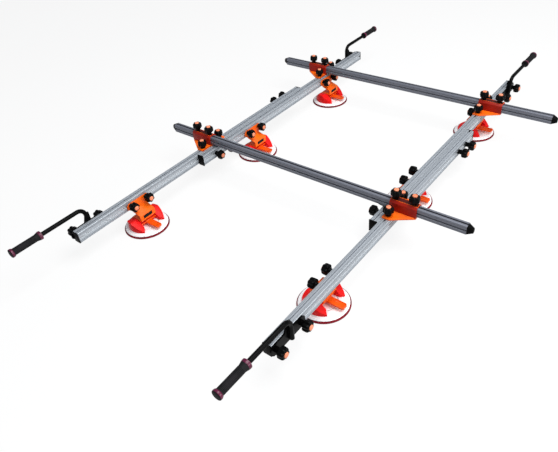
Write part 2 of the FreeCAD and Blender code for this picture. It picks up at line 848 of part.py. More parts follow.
def make_handle_knobs(side, end, knob):
    way = ENDS[end]
    face = handle_face(side, end)
    turn = sideways(SIDES[side])
    copies = []
    for along in (-size("handle_knob_back"), size("handle_knob_front")):
        copies.append((knob, (face, (handle_rise() + along) * way, SLOT_LEVEL), turn))
    return group("handle_knobs_%s_%s" % (side, end), copies)


def check(nodes):
    """Stops where an object failed or a node is empty or broken."""
    for item in doc.Objects:
        if "Invalid" in item.State or "Error" in item.State:
            raise RuntimeError("failed: %s %s" % (item.Label, item.State))
    for node in nodes:
        if node.Shape.isNull() or not node.Shape.isValid() or not node.Shape.Solids:
            raise RuntimeError("no sound solid: " + node.Label)


def main():
    knob = make_knob("hand_knob", SEAT, as_size(0))
    splice_knob = make_knob("splice_knob", as_size(0), -(size("rail_width") + size("rail_seam")))
    rail_cap = make_rail_cap("rail_cap", 0)
    guide_cap = make_rail_cap("guide_cap", size("guide_cap_flare"))
    bar_cap = make_bar_cap()
    nodes = [make_bar(end) for end in ENDS]
    for side in SIDES:
        for end in ENDS:
            nodes.append(make_rail(side, end))
            nodes.append(make_saddle(side, end))
            nodes.append(make_handle_frame(side, end))
            nodes.append(make_grip(side, end))
        for place in CUP_RAILS:
            nodes.append(make_pad(side, place))
            nodes.append(make_housing(side, place))
            nodes.append(make_lever(side, place))
            nodes.append(make_bracket(side, place))
    doc.recompute()
    for side in SIDES:
        for end in ENDS:
            nodes.append(make_caps(side, end, rail_cap, guide_cap, bar_cap))
            nodes.append(make_clamp_knobs(side, end, knob, splice_knob))
            nodes.append(make_handle_knobs(side, end, knob))
        for place in CUP_RAILS:
            nodes.append(make_cup_knobs(side, place, knob))
    doc.recompute()
    check(nodes)
    os.makedirs("parts", exist_ok=True)
    for node in nodes:
        node.Shape.exportStep("parts/%s.step" % node.Label)
    print("%d nodes written" % len(nodes))


main()
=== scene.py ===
# %% [markdown]
# A glass panel lifter, dressed over its CAD frame.
# The CAD model gives every place and size: rails, cross bars, saddles, suction cups, handles and hand knobs.
# Blender adds what a solid modeller leaves plain: rounded edges, lobed knobs, ribbed grips, welds, finishes.
# Everything is in metres and in the frame's own axes: rails along Y, cross bars along X, Z up.

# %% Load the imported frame
import json
import math

import bmesh
import bpy
from mathutils import Matrix, Vector

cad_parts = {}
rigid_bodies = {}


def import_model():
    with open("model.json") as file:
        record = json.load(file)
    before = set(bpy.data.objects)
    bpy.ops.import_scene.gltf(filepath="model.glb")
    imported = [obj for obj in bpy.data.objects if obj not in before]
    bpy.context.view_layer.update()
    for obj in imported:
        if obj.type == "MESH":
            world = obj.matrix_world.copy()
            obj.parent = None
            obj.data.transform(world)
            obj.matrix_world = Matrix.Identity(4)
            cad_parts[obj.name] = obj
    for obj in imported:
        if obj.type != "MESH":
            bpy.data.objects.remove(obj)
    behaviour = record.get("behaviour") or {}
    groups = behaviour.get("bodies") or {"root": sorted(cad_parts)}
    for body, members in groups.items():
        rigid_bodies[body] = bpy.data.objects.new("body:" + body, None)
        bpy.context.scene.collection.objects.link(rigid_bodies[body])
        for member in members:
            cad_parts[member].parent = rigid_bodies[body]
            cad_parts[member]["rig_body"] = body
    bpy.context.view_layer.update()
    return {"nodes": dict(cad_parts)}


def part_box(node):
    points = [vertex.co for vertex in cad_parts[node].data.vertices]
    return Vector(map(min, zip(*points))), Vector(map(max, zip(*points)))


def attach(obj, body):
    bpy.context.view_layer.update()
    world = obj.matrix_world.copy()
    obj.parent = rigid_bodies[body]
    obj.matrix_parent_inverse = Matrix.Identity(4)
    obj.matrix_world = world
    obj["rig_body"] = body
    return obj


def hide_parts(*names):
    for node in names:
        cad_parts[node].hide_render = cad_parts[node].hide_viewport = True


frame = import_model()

nodes = frame["nodes"]
SIDES = {"left": -1, "right": 1}
ENDS = {"near": -1, "far": 1}
CUP_RAILS = {"near": "near", "mid": "far", "far": "far"}

# %% [markdown]
# The photograph is taken from above the near right corner with a slight tilt of the camera.
# Its place and angles were worked out from the edges of the rails and bars, so they are set as numbers.
# A constraint could aim it too, but a matrix of its right, up and back directions keeps the tilt exact.

# %% Camera
IMAGE_WIDTH = 558
FOCAL_PIXELS = 546.0
SENSOR_WIDTH = 36.0
CLIP_START, CLIP_END = 0.05, 100.0
CAMERA_PLACE = (1.2699, -1.8044, 1.4913)
TURN, CLIMB, TILT = (math.radians(angle) for angle in (42.328, 38.745, -6.549))
Z_UP = Vector((0, 0, 1))

back = Vector((math.sin(TURN) * math.cos(CLIMB), -math.cos(TURN) * math.cos(CLIMB), math.sin(CLIMB)))
level_right = (-back).cross(Z_UP).normalized()
level_up = level_right.cross(-back)
cam_right = level_right * math.cos(TILT) + level_up * math.sin(TILT)
cam_up = level_up * math.cos(TILT) - level_right * math.sin(TILT)
camera = bpy.data.objects.new("camera", bpy.data.cameras.new("camera"))
bpy.context.scene.collection.objects.link(camera)
camera.data.sensor_width = SENSOR_WIDTH
camera.data.lens = SENSOR_WIDTH * FOCAL_PIXELS / IMAGE_WIDTH
camera.data.clip_start = CLIP_START
camera.data.clip_end = CLIP_END
facing = Matrix((cam_right, cam_up, back)).transposed().to_4x4()
camera.matrix_world = Matrix.Translation(CAMERA_PLACE) @ facing
bpy.context.scene.camera = camera
print("camera: lens %.1f mm" % camera.data.lens)

# %% [markdown]
# A finish in Blender is a small network of nodes.
# Ours repeat the same few steps: a noise, a change of range, a sum, a blend of two colours and a bump.
# A short function for each step lets a finish read like a recipe.
# Each function takes a plain value or another node's output, and "feed" tells them apart.

# %% Node helpers
def feed(tree, value, socket):
    """Links another node's output to a socket, or sets a plain number, vector or colour on it."""
    if isinstance(value, bpy.types.NodeSocket):
        tree.links.new(value, socket)
    else:
        socket.default_value = (*value, 1) if socket.type == "RGBA" else value


def noise(tree, vector, scale, detail):
    """A noise texture that reads a vector."""
    node = tree.nodes.new("ShaderNodeTexNoise")
    for label, value in (("Vector", vector), ("Scale", scale), ("Detail", detail)):
        feed(tree, value, node.inputs[label])
    return node.outputs["Fac"]


def remap(tree, value, low, high, to_low=0.0, to_high=1.0):
    """A clamped map of one range to another."""
    node = tree.nodes.new("ShaderNodeMapRange")
    feed(tree, value, node.inputs["Value"])
    for label, limit in (("From Min", low), ("From Max", high), ("To Min", to_low), ("To Max", to_high)):
        feed(tree, limit, node.inputs[label])
    return node.outputs["Result"]


def figure(tree, operation, first, second):
    """A sum, a product or the larger of two values, as the operation says."""
    node = tree.nodes.new("ShaderNodeMath")
    node.operation = operation
    feed(tree, first, node.inputs[0])
    feed(tree, second, node.inputs[1])
    return node.outputs["Value"]


def mix_colours(tree, factor, first, second):
    """A blend of two colours; a factor of 0 gives the first."""
    node = tree.nodes.new("ShaderNodeMix")
    node.data_type = "RGBA"
    feed(tree, factor, node.inputs["Factor"])
    for label, value in (("A", first), ("B", second)):
        feed(tree, value, [s for s in node.inputs if s.name == label and s.type == "RGBA"][0])
    return [s for s in node.outputs if s.type == "RGBA"][0]


def bump(tree, shader, height, strength, distance):
    """Fine relief in the shader's normal."""
    node = tree.nodes.new("ShaderNodeBump")
    for label, value in (("Strength", strength), ("Distance", distance), ("Height", height)):
        feed(tree, value, node.inputs[label])
    tree.links.new(node.outputs["Normal"], shader.inputs["Normal"])


print("node helpers ready")

# %% [markdown]
# Several finishes share the same effects, so each effect is a shader node group with named sockets.
# A group here only puts out a colour, a mask, a value or a height; the shader itself stays in each material.
# "mottle" breaks up a colour the way moulding and handling do, and "scuffs" marks a few rubbed spots.
# "drawn_lines" gives the streaks of an extruded profile.
# "peel" is the fine orange-peel skin of powder coat and moulded plastic.

# %% Shared shader groups
VECTOR, FLOAT, COLOUR = "NodeSocketVector", "NodeSocketFloat", "NodeSocketColor"
NOISE_LOW, NOISE_HIGH = 0.3, 0.7
PATCH_FROM, PATCH_TO = 0.42, 0.68
SCUFF_CEILING = 0.95
PATCH_DETAIL, STREAK_DETAIL, SKIN_DETAIL, SPOT_DETAIL = 5.0, 2.0, 2.0, 8.0


def new_group(name, inputs, outputs):
    """An empty shader group with named sockets."""
    group = bpy.data.node_groups.new(name, "ShaderNodeTree")
    for way, sockets in (("INPUT", inputs), ("OUTPUT", outputs)):
        for label, kind in sockets.items():
            group.interface.new_socket(label, in_out=way, socket_type=kind)
    return group, group.nodes.new("NodeGroupInput").outputs, group.nodes.new("NodeGroupOutput").inputs


mottle, given, result = new_group(
    "mottle", {"Vector": VECTOR, "Scale": FLOAT, "Main": COLOUR, "Patch": COLOUR},
    {"Color": COLOUR, "Value": FLOAT})
coarse = noise(mottle, given["Vector"], given["Scale"], PATCH_DETAIL)
patches = remap(mottle, coarse, PATCH_FROM, PATCH_TO)
mottle.links.new(mix_colours(mottle, patches, given["Main"], given["Patch"]), result["Color"])
mottle.links.new(coarse, result["Value"])

drawn_lines, given, result = new_group(
    "drawn_lines", {"Vector": VECTOR, "Stretch": VECTOR}, {"Value": FLOAT, "Height": FLOAT})
stretch = drawn_lines.nodes.new("ShaderNodeVectorMath")
stretch.operation = "MULTIPLY"
drawn_lines.links.new(given["Vector"], stretch.inputs[0])
drawn_lines.links.new(given["Stretch"], stretch.inputs[1])
streaks = noise(drawn_lines, stretch.outputs["Vector"], 1.0, STREAK_DETAIL)
drawn_lines.links.new(remap(drawn_lines, streaks, NOISE_LOW, NOISE_HIGH), result["Value"])
drawn_lines.links.new(streaks, result["Height"])

peel, given, result = new_group("peel", {"Vector": VECTOR, "Scale": FLOAT}, {"Height": FLOAT})
peel.links.new(noise(peel, given["Vector"], given["Scale"], SKIN_DETAIL), result["Height"])

scuffs, given, result = new_group(
    "scuffs", {"Vector": VECTOR, "Scale": FLOAT, "Amount": FLOAT}, {"Mask": FLOAT})
spots = noise(scuffs, given["Vector"], given["Scale"], SPOT_DETAIL)
threshold = figure(scuffs, "SUBTRACT", SCUFF_CEILING, given["Amount"])
scuffs.links.new(remap(scuffs, spots, threshold, 1.0), result["Mask"])
print("shader groups:", [group.name for group in (mottle, drawn_lines, peel, scuffs)])

# %% [markdown]
# Two families cover almost every surface.
# Extruded aluminium is metal with streaks along its length; its roughness and bump follow the same streaks.
# Coated and moulded parts are a colour with soft patches, a fine skin in the bump, and a few paler scuffs.
# Constants such as metallic and coat are set on the shader's own sockets.

# %% Two families of finishes
STREAK_BUMP, STREAK_DEPTH = 0.03, 0.0003
SLOT_ROUGHNESS, SLOT_METALLIC = (0.5, 0.6), 0.0
PATCH_SCALE = 26.0
SCUFF_SCALE, SCUFF_AMOUNT = 170.0, 0.24
COAT_ROUGHNESS = 0.15
SKIN_DEPTH = 0.0005


def new_finish(name):
    """A material with its shader and the object coordinates that all patterns read."""
    finish = bpy.data.materials.new(name)
    finish.use_nodes = True
    tree = finish.node_tree
    place = tree.nodes.new("ShaderNodeTexCoord").outputs["Object"]
    return finish, tree, tree.nodes["Principled BSDF"], place


def use_group(tree, group, place, **values):
    """A copy of a shared group in a material, with its own values."""
    node = tree.nodes.new("ShaderNodeGroup")
    node.node_tree = group
    tree.links.new(place, node.inputs["Vector"])
    for label, value in values.items():
        feed(tree, value, node.inputs[label])
    return node


def extruded(name, pale, dark, stretch, roughness, metallic):
    """Anodised aluminium profile with streaks along its length."""
    finish, tree, shader, place = new_finish(name)
    lines = use_group(tree, drawn_lines, place, Stretch=stretch)
    tree.links.new(mix_colours(tree, lines.outputs["Value"], dark, pale), shader.inputs["Base Color"])
    tree.links.new(remap(tree, lines.outputs["Value"], 0, 1, *roughness), shader.inputs["Roughness"])
    shader.inputs["Metallic"].default_value = metallic
    bump(tree, shader, lines.outputs["Height"], STREAK_BUMP, STREAK_DEPTH)
    return finish


def slot_inside(name, pale, dark, stretch):
    """The dull inside of a profile's slot, which mirrors nothing."""
    return extruded(name, pale, dark, stretch, SLOT_ROUGHNESS, SLOT_METALLIC)


def coated(name, main, patch, roughness, skin=900.0, skin_bump=0.12, scuff=None, shine=0.5, coat=0.0):
    """Painted or moulded surface: soft patches, a fine skin and, if asked, scuffs of another colour."""
    finish, tree, shader, place = new_finish(name)
    tone = use_group(tree, mottle, place, Scale=PATCH_SCALE, Main=main, Patch=patch)
    colour = tone.outputs["Color"]
    if scuff:
        marks = use_group(tree, scuffs, place, Scale=SCUFF_SCALE, Amount=SCUFF_AMOUNT)
        colour = mix_colours(tree, marks.outputs["Mask"], colour, scuff)
    tree.links.new(colour, shader.inputs["Base Color"])
    rough = remap(tree, tone.outputs["Value"], NOISE_LOW, NOISE_HIGH, *roughness)
    tree.links.new(rough, shader.inputs["Roughness"])
    shader.inputs["Specular IOR Level"].default_value = shine
    shader.inputs["Coat Weight"].default_value = coat
    shader.inputs["Coat Roughness"].default_value = COAT_ROUGHNESS
    fine = use_group(tree, peel, place, Scale=skin)
    bump(tree, shader, fine.outputs["Height"], skin_bump, SKIN_DEPTH)
    return finish


print("finish families: extruded, coated")

# %% [markdown]
# Now each surface of the lifter gets its finish: first the metals, then paint, plastic and rubber.
# A metal's streaks follow its length, which is Y on the rails, X on the bars and Z on the knobs' bolts.
# The colours are linear values for the plain studio light below; the blacks are very dark with little shine.

# %% Finishes of the metals
ALONG_Y, FINE_ALONG_Y = (160, 0.8, 160), (220, 1.2, 220)
ALONG_X, FINE_ALONG_X = (0.8, 160, 160), (1.2, 220, 220)
ALONG_Z = (500, 500, 60)
silver = extruded("silver_anodised", (0.46, 0.50, 0.54), (0.42, 0.455, 0.49), ALONG_Y, (0.36, 0.42), 0.40)
graphite = extruded("graphite_anodised", (0.195, 0.205, 0.245), (0.16, 0.17, 0.205), ALONG_X,
                    (0.36, 0.46), 0.4)
zinc = extruded("zinc_plated", (0.62, 0.60, 0.55), (0.42, 0.41, 0.38), ALONG_Z, (0.3, 0.5), 0.95)
# Painted light: the rails' side slots are pale inside, standing for the light that falls into them.
side_slot_painted_light = slot_inside("side_slot_painted_light_inside", (0.80, 0.83, 0.86), (0.70, 0.73, 0.76), FINE_ALONG_Y)
slot_shade = slot_inside("rail_slot_inside", (0.46, 0.49, 0.54), (0.38, 0.41, 0.45), FINE_ALONG_Y)
# Painted shade: the guide lines are dark inside, standing for the shade in a fine groove.
guide_line_painted_shade = slot_inside("guide_line_painted_shade_inside", (0.20, 0.22, 0.25), (0.15, 0.165, 0.19), FINE_ALONG_Y)
slot_dark = slot_inside("bar_slot_inside", (0.17, 0.174, 0.20), (0.12, 0.124, 0.145), FINE_ALONG_X)
slot_grey = slot_inside("bar_side_slot_inside", (0.36, 0.37, 0.42), (0.30, 0.31, 0.35), FINE_ALONG_X)
print("materials so far:", len(bpy.data.materials))

# %% [markdown]
# The saddles show three finishes: an orange base, a red sleeve darkened by painted shade, and a sunk top in a
# dark red of painted shade.
# The cups are red housings and orange levers on white dishes with a dark red lip.
# Knobs, handles and caps are black; the knobs' inserts are peach and the grips' collars maroon.

# %% Finishes of paint, plastic and rubber
orange = coated("orange_powder_coat", (1.0, 0.150, 0.002), (0.94, 0.115, 0.002), (0.36, 0.50),
                scuff=(1.0, 0.30, 0.12), shine=0.3)
# Painted shade: the saddle's sunk top is a very dark red that stands for shade.
top_painted_shade = coated("strap_dark_red", (0.075, 0.006, 0.004), (0.050, 0.004, 0.003), (0.42, 0.55), shine=0.2)
# Painted shade: the sleeve is red, darkened to stand for the shade on its walls.
sleeve_painted_shade = coated("sleeve_red_painted_shade", (0.34, 0.010, 0.002), (0.28, 0.008, 0.002), (0.38, 0.50),
                    scuff=(0.60, 0.05, 0.02), shine=0.2)
red = coated("red_powder_coat", (0.84, 0.012, 0.012), (0.70, 0.008, 0.009), (0.30, 0.42),
             scuff=(0.90, 0.07, 0.06), shine=0.10)
lever_orange = coated("lever_plastic", (0.92, 0.100, 0.003), (0.82, 0.075, 0.002), (0.28, 0.38), 1400.0, 0.06,
                      shine=0.25, coat=0.05)
dish_white = coated("dish_plastic", (0.98, 0.97, 0.98), (0.94, 0.93, 0.94), (0.34, 0.44), 700.0, 0.05)
# Painted shade: the dish's groove is grey, for the shade in it.
groove_painted_shade = coated("dish_groove_painted_shade", (0.30, 0.28, 0.30), (0.22, 0.20, 0.22), (0.5, 0.6), 700.0, 0.05)
lip_red = coated("lip_rubber", (0.20, 0.004, 0.012), (0.14, 0.003, 0.009), (0.5, 0.65), 700.0, 0.15,
                 shine=0.12)
black_plastic = coated("knob_plastic", (0.0018, 0.0019, 0.0021), (0.0035, 0.0035, 0.0038), (0.26, 0.40),
                       800.0, 0.12, scuff=(0.022, 0.022, 0.022), shine=0.06)
black_coat = coated("frame_powder_coat", (0.0016, 0.0017, 0.0019), (0.0030, 0.0030, 0.0033), (0.26, 0.40),
                    900.0, 0.10, scuff=(0.020, 0.020, 0.022), shine=0.05)
cap_plastic = coated("cap_plastic", (0.0018, 0.0019, 0.0021), (0.0035, 0.0035, 0.0038), (0.42, 0.56),
                     600.0, 0.15, shine=0.05)
# Painted shade: a black block in a bracket's window stands for the shade inside.
window_painted_shade = coated("window_painted_shade_block", (0.006, 0.006, 0.006), (0.010, 0.010, 0.010), (0.55, 0.70), 600.0, 0.15,
                     shine=0.15)
peach = coated("knob_insert", (0.90, 0.31, 0.17), (0.82, 0.23, 0.11), (0.36, 0.48), 900.0, 0.08, shine=0.3)
grip_rubber = coated("grip_rubber", (0.008, 0.008, 0.009), (0.015, 0.014, 0.016), (0.58, 0.74), 1500.0, 0.3,
                     scuff=(0.06, 0.055, 0.06), shine=0.15)
collar_rubber = coated("grip_collar", (0.105, 0.004, 0.034), (0.070, 0.003, 0.022), (0.26, 0.36), 900.0, 0.10,
                       shine=0.4)
print("materials in all:", len(bpy.data.materials))

# %% [markdown]
# A piece that is not a CAD node needs three things: a mesh, a place on a body, and the node it stands for.
# Helpers keep those steps the same for all pieces.
# Operators would need a selection and a mode; working on meshes and bmesh data directly needs neither.

# %% Mesh helpers
def smooth(mesh, sharp):
    """Smooth faces with sharp edges above an angle."""
    for face in mesh.polygons:
        face.use_smooth = True
    mesh.set_sharp_from_angle(angle=math.radians(sharp))
    return mesh


def settle(bm, name, sharp=35, recalculate=True):
    """Closes a bmesh into a smooth mesh."""
    if recalculate:
        bmesh.ops.recalc_face_normals(bm, faces=bm.faces)
    mesh = bpy.data.meshes.new(name)
    bm.to_mesh(mesh)
    bm.free()
    return smooth(mesh, sharp)


def painted(mesh, *finishes):
    """The mesh with its finishes in slots."""
    for finish in finishes:
        mesh.materials.append(finish)
    return mesh


def as_object(name, mesh):
    piece = bpy.data.objects.new(name, mesh)
    bpy.context.scene.collection.objects.link(piece)
    return piece


def evaluated_mesh(piece):
    """The piece's mesh with its modifiers worked in."""
    graph = bpy.context.evaluated_depsgraph_get()
    worked = piece.evaluated_get(graph)
    return bpy.data.meshes.new_from_object(worked, preserve_all_data_layers=True, depsgraph=graph)


def drop(*pieces):
    for piece in pieces:
        bpy.data.objects.remove(piece)


def joined(name, meshes):
    """One mesh from several, with their finishes kept."""
    bm = bmesh.new()
    finishes = []
    for mesh in meshes:
        first = len(bm.faces)
        bm.from_mesh(mesh)
        bm.faces.ensure_lookup_table()
        for finish in mesh.materials:
            if finish not in finishes:
                finishes.append(finish)
        for face in bm.faces[first:]:
            face.material_index = finishes.index(mesh.materials[face.material_index])
    whole = bpy.data.meshes.new(name)
    bm.to_mesh(whole)
    bm.free()
    return painted(whole, *finishes)


def dress(name, mesh, node):
    """A piece with this mesh takes the node's place on the node's body."""
    piece = as_object(name, mesh)
    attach(piece, nodes[node]["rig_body"])
    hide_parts(node)


def middle(node):
    """The centre of a CAD node's box."""
    low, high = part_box(node)
    return (low + high) / 2


print("mesh helpers ready")

# %% [markdown]
# Rails, rods, knobs, pads and grips are all a skin over rows of points.
# "skin" closes neighbouring rows with faces, "capped" also closes the two ends of a bar,
# and "lathe" turns a profile of radius and height round an axis, which suits cups, grips and inserts.

# %% Skins over rows of points
POLE = 1e-7


def skin(bm, rows):
    """Faces between closed rows, one after another; a row of one point is a pole."""
    faces = []
    for low, high in zip(rows, rows[1:]):
        count = max(len(low), len(high))
        for i in range(count):
            j = (i + 1) % count
            below = low if len(low) == 1 else [low[i], low[j]]
            above = high if len(high) == 1 else [high[j], high[i]]
            faces.append(bm.faces.new(below + above))
    return faces


def capped(bm, rows):
    """A skin with its first and last row closed."""
    faces = skin(bm, rows)
    bm.faces.new(rows[0])
    bm.faces.new(rows[-1])
    return faces


def ring(count):
    """The angles of points spaced evenly round a circle."""
    return [2 * math.pi * i / count for i in range(count)]


def lathe(profile, segments, place=Matrix.Identity(4)):
    """A bmesh turned round Z from (radius, height, finish of the next row); radius 0 closes to a point."""
    bm = bmesh.new()
    rows = []
    for radius, height, _ in profile:
        spots = [(radius * math.cos(angle), radius * math.sin(angle), height) for angle in ring(segments)]
        rows.append([bm.verts.new(place @ Vector(spot)) for spot in (spots if radius > POLE else spots[:1])])
    for number, face in enumerate(skin(bm, rows)):
        face.material_index = profile[number // segments][2]
    return bm


print("skin helpers ready")

# %% [markdown]
# Rails and bars are aluminium extrusions, so each one is a section drawn once and pulled along its length.
# The section has the CAD model's T-slots and adds what a die leaves: rounded corners and fine guide lines.
# The inside of a side slot is painted paler than the outside, a painted light that keeps it bright; a top
# slot is in shade and reads dark, and the guide lines carry a painted shade.

# %% The section of a profile
SLOT_MOUTH = 0.0084 / 2
SLOT_ROOM = 0.015 / 2
SLOT_LIP = 0.003
SLOT_DEPTH = 0.010
LINE_WIDTH = 0.0009
LINE_DEPTH = 0.0007
CHANNEL_DEPTH = 0.0012
CORNER_STEPS = 4
OUTSIDE, SIDE_SLOT, TOP_SLOT, LINE = 0, 1, 2, 3


def section_side(half, corner, lines, channel, inside):
    """One side of a section as (along, depth, finish of the next edge), from corner to corner."""
    row = [(corner - half, 0, OUTSIDE)]
    for line in sorted(lines, reverse=True):
        row += [(-line - LINE_WIDTH, 0, LINE), (-line, LINE_DEPTH, LINE), (-line + LINE_WIDTH, 0, OUTSIDE)]
    sunk = 0.0
    if channel:
        sunk = CHANNEL_DEPTH
        row += [(-channel, 0, OUTSIDE), (-channel, sunk, OUTSIDE)]
    row += [(-SLOT_MOUTH, sunk, inside), (-SLOT_MOUTH, SLOT_LIP, inside), (-SLOT_ROOM, SLOT_LIP, inside),
            (-SLOT_ROOM, SLOT_DEPTH, inside)]
    marks = [mark for _, _, mark in row]
    marks += marks[-2::-1] + [OUTSIDE]
    points = [(along, depth) for along, depth, _ in row]
    points += [(-along, depth) for along, depth in reversed(points)]
    return [(along, depth, mark) for (along, depth), mark in zip(points, marks)]


def section(width, height, corner, top_lines, side_lines, channel=None):
    """The whole outline as (across, up, finish), with rounded corners between its four sides."""
    half_w, half_h = width / 2, height / 2
    flat_side = section_side(half_w, corner, top_lines, None, TOP_SLOT)
    tall_side = section_side(half_h, corner, side_lines, channel, SIDE_SLOT)
    across, up = half_w - corner, half_h - corner
    turns = (((lambda a, d: (a, half_h - d)), flat_side, (across, up)),
             ((lambda a, d: (half_w - d, -a)), tall_side, (across, -up)),
             ((lambda a, d: (-a, d - half_h)), flat_side, (-across, -up)),
             ((lambda a, d: (d - half_w, a)), tall_side, (-across, up)))
    outline = []
    for number, (place, side, hub) in enumerate(turns):
        outline += [(*place(along, depth), mark) for along, depth, mark in side]
        first = math.pi / 2 - number * math.pi / 2
        for step in range(1, CORNER_STEPS):
            angle = first - step * math.pi / (2 * CORNER_STEPS)
            outline.append((hub[0] + corner * math.cos(angle), hub[1] + corner * math.sin(angle), OUTSIDE))
    return outline


RAIL_WIDTH, RAIL_HEIGHT, RAIL_CORNER = 0.034, 0.048, 0.002
RAIL_TOP_LINES, RAIL_SIDE_LINES, RAIL_CHANNEL = (0.0085, 0.0130), (0.0135, 0.0165, 0.0200), 0.010
BAR_WIDTH, BAR_HEIGHT, BAR_CORNER, BAR_SIDE_LINES = 0.032, 0.040, 0.006, (0.0110,)
rail_section = section(RAIL_WIDTH, RAIL_HEIGHT, RAIL_CORNER, RAIL_TOP_LINES, RAIL_SIDE_LINES, RAIL_CHANNEL)
bar_section = section(BAR_WIDTH, BAR_HEIGHT, BAR_CORNER, (), BAR_SIDE_LINES)
print("section points:", len(rail_section), len(bar_section))

# %% [markdown]
# Pulling a section needs only its two ends: a copy of the outline at each, and flat faces between them.
# Rails run along Y and bars along X, and each keeps the length of its CAD node.

# %% Rails and cross bars
PROFILE_SHARP = 30


def pulled(outline, start, end, place):
    """A bar of the outline between two ends; place maps (across, up, along) to the frame."""
    bm = bmesh.new()
    rows = [[bm.verts.new(place(across, up, along)) for across, up, _ in outline] for along in (start, end)]
    for face, (_, _, mark) in zip(capped(bm, rows), outline):
        face.material_index = mark
    return bm


for node in list(nodes):
    if node.startswith(("rail_", "cross_bar_")):
        low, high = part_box(node)
        centre = (low + high) / 2
        if node.startswith("rail_"):
            bm = pulled(rail_section, low.y, high.y, lambda a, u, y: (centre.x + a, y, centre.z + u))
            # Side slots get a painted light inside, and guide lines a painted shade.
            finishes = [silver, side_slot_painted_light, slot_shade, guide_line_painted_shade]
        else:
            bm = pulled(bar_section, low.x, high.x, lambda a, u, x: (x, centre.y + a, centre.z + u))
            finishes = [graphite, slot_grey, slot_dark, slot_dark]
        dress(node + "_pulled", painted(settle(bm, node + "_pulled", PROFILE_SHARP), *finishes), node)
print("rails and bars pulled:", sum(node.startswith(("rail_", "cross_bar_")) for node in nodes))

# %% [markdown]
# Two kinds of plate have a detail of their own.
# A saddle's top is sunk a little inside a raised rim; the sunk top and the sleeve have finishes of their own
# that carry painted shade.
# A cup bracket has a window in its front, and a black block of painted shade fills it, where the inside would
# be in shade.
# Both are cut from or placed by the CAD node, so they follow its size.

# %% Sunk tops of the saddles and painted shade in the brackets' windows
SADDLE_BASE = 0.006
BASE_MARGIN = 0.001
SUNK_TOP_SHADE_MARK, SLEEVE_SHADE_MARK = 1, 2
RIM_WIDTH = 0.0030
SUNK_TOP_STEP, SUNK_TOP_DEPTH = 0.0003, 0.0012
FACES_UP, TOP_MARGIN = 0.9, 0.0005
WINDOW_HALF_WIDTH = 0.024
WINDOW_BOTTOM = 0.06314
WINDOW_TOP = 0.08024
WINDOW_GAP = 0.0003
SHADE_BLOCK_SET_BACK = 0.0008
SHADE_BLOCK_THICKNESS = 0.004
SHADE_BLOCK_EDGE = 0.0006
BEVEL_STEPS = 2


def sink_saddle_top(bm):
    """Sinks the top of a saddle inside its rim, and marks the sunk top and the sleeve for their finishes of
    painted shade.
    """
    level = max(vert.co.z for vert in bm.verts)

    def on_top(face):
        return face.normal.z > FACES_UP and face.calc_center_median().z > level - TOP_MARGIN

    top = [face for face in bm.faces if on_top(face)]
    bmesh.ops.inset_region(bm, faces=top, thickness=RIM_WIDTH, depth=0.0)
    bmesh.ops.inset_region(bm, faces=top, thickness=SUNK_TOP_STEP, depth=-SUNK_TOP_DEPTH)
    base_top = min(vert.co.z for vert in bm.verts) + SADDLE_BASE
    bm.normal_update()
    for face in bm.faces:
        # The sleeve's faces take a red darkened by painted shade, and the sunk top a dark red of painted
        # shade.
        if base_top + BASE_MARGIN < face.calc_center_median().z and not on_top(face):
            face.material_index = SLEEVE_SHADE_MARK
    for face in top:
        face.material_index = SUNK_TOP_SHADE_MARK


def window_shade_block(node):
    """A black block of painted shade that fills the window in the front of a cup bracket, a little behind its
    face.
    """
    low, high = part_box(node)
    side = SIDES[node.split("_")[2]]
    front = high.x if side < 0 else low.x
    half = WINDOW_HALF_WIDTH - WINDOW_GAP
    bm = bmesh.new()
    for vert in bmesh.ops.create_cube(bm, size=1.0)["verts"]:
        depth = SHADE_BLOCK_SET_BACK if vert.co.x > 0 else SHADE_BLOCK_SET_BACK + SHADE_BLOCK_THICKNESS
        level = (WINDOW_TOP - WINDOW_GAP) if vert.co.z > 0 else (WINDOW_BOTTOM + WINDOW_GAP)
        vert.co = Vector((front + side * depth, (low.y + high.y) / 2 + 2 * half * vert.co.y, level))
    bmesh.ops.bevel(bm, geom=list(bm.edges), offset=SHADE_BLOCK_EDGE, segments=BEVEL_STEPS, affect="EDGES")
    return painted(settle(bm, "window_shade_mesh"), window_painted_shade)


print("window: %.1f by %.1f mm" % (2000 * WINDOW_HALF_WIDTH, 1000 * (WINDOW_TOP - WINDOW_BOTTOM)))

# %% [markdown]
# Bent and cast plates are never knife-edged: coating builds up on a corner and catches a line of light.
# A bevel on a copy of each CAD node gives that line at a true radius without changing the size of the part.
# The copy is merged first, because a CAD node's mesh is loose triangles and a bevel needs whole edges.

# %% Saddles, brackets, housings, levers and caps
MERGE = 5e-6
FLAT_ANGLE, BEVEL_ANGLE, ROUNDED_SHARP = 0.4, 32, 38
ROUNDING = {"saddle_": (0.0012, [orange, top_painted_shade, sleeve_painted_shade]), "cup_bracket_": (0.0010, [orange]),
            "cup_housing_": (0.0022, [red]), "cup_lever_": (0.0012, [lever_orange]),
            "end_caps_": (0.0010, [cap_plastic])}


